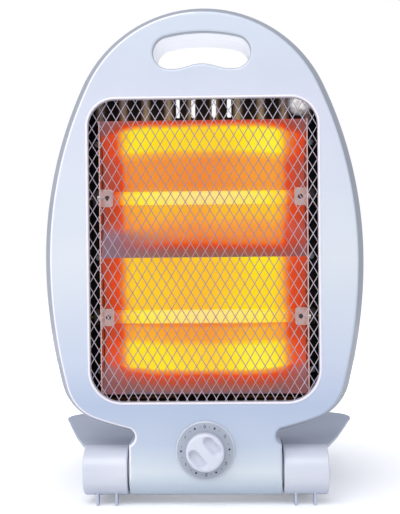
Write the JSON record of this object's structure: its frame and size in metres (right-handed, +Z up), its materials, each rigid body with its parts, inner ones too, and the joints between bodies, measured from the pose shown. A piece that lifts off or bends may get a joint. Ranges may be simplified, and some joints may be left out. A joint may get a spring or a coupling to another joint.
{
  "type": "quartz heater",
  "caption": "Small oval quartz radiant heater with a diamond wire guard over glowing tubes, a carry handle, a rotary switch and a flared tilting stand.",
  "frame": {"origin": "on the floor, under the middle of the overall box", "axes": "+Z up, -Y is the front with the guard and the dial, +X to the right seen from the front"},
  "size_m": [0.27, 0.1846, 0.4056],
  "materials": {
    "housing_front": "gloss moulded",
    "housing_rear": "satin moulded",
    "stand_plastic": "satin moulded",
    "knob_white": "gloss moulded",
    "dial_grey": "printed matt disc",
    "dark_plastic": "matt moulded",
    "guard_wire": "plated wire",
    "plain_sheet": "rolled sheet",
    "mirror_sheet": "bright rolled sheet",
    "zinc_steel": "zinc plated",
    "quartz_glass": "frosted drawn tube",
    "heating_wire": "oxidised wire",
    "ceramic": "unglazed ceramic",
    "terminal_brass": "stamped sheet",
    "washer_rubber": "matt",
    "wire_sleeve": "woven glass sleeve"
  },
  "bodies": {
    "stand": {"stand": "stand_plastic", "pivot_bolts": "zinc_steel", "pivot_washers": "washer_rubber", "pivot_nuts": "zinc_steel", "pivot_caps": "stand_plastic"},
    "housing": {"front_cover": "housing_front", "rear_cover": "housing_rear", "cover_screws": "zinc_steel", "guard_mesh": "guard_wire", "guard_frame": "plain_sheet", "guard_screws": "zinc_steel", "reflector": "mirror_sheet", "side_plates": "plain_sheet", "heat_shield": "plain_sheet", "shield_screws": "zinc_steel", "quartz_tube_upper": "quartz_glass", "quartz_tube_lower": "quartz_glass", "heating_coil_upper": "heating_wire", "heating_coil_lower": "heating_wire", "ceramic_caps": "ceramic", "tube_terminals": "terminal_brass", "tube_brackets": "plain_sheet", "bracket_screws": "zinc_steel", "dial_ring": "dial_grey", "rotary_switch": "dark_plastic", "switch_nut": "zinc_steel", "tilt_switch_case": "dark_plastic", "tilt_switch_pin": "zinc_steel", "tilt_switch_screws": "zinc_steel", "thermal_cutout": "ceramic", "terminal_block": "ceramic", "cord_gland": "dark_plastic", "lead_wires": "wire_sleeve", "supply_wires": "wire_sleeve"},
    "knob": {"control_knob": "knob_white", "switch_shaft": "zinc_steel"},
    "pendulum": {"tilt_pendulum": "terminal_brass"}
  },
  "joints": [
    {"name": "tilt", "type": "hinge", "parent": "stand", "child": "housing", "pos_m": [0, -0.0597, 0.027], "axis": [-1, 0, 0], "range_deg": [-5, 15]},
    {"name": "knob_turn", "type": "hinge", "parent": "housing", "child": "knob", "pos_m": [0, -0.0857, 0.0472], "axis": [0, -1, 0], "continuous": true},
    {"name": "pendulum_swing", "type": "hinge", "parent": "housing", "child": "pendulum", "pos_m": [-0.0375, -0.0597, 0.03856], "axis": [1, 0, 0], "range_deg": [-25, 25]}
  ]
}
